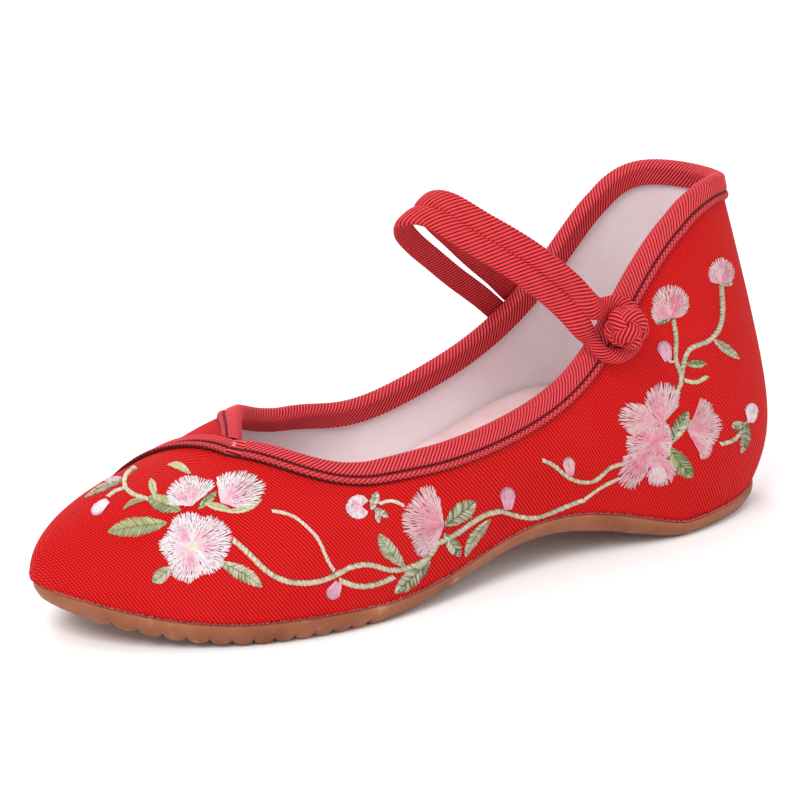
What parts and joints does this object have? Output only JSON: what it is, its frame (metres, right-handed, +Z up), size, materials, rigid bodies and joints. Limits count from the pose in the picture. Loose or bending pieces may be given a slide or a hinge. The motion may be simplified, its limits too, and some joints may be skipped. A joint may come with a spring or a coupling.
{
  "type": "embroidered cloth shoe",
  "caption": "Left cloth shoe of red twill on a ribbed gum sole, with bound collar, hidden heel wedge, doubled instep strap and knot button.",
  "frame": {"origin": "middle of the shoe's box in plan, at the floor under the sole", "axes": "+X to the heel, the toe at -X, +Y to the medial side, +Z up"},
  "size_m": [0.244, 0.082, 0.1133],
  "materials": {
    "outsole": "satin gum rubber",
    "insole": "pale pink cotton",
    "upper": "red twill with satin stitch flowers",
    "binding": "red ribbed tape",
    "cord": "red ribbed cord"
  },
  "bodies": {
    "root": {"outsole": "outsole", "insole": "insole", "upper": "upper", "lateral_binding": "binding", "medial_binding": "binding", "strap": "cord", "knot_button": "cord"}
  },
  "joints": []
}
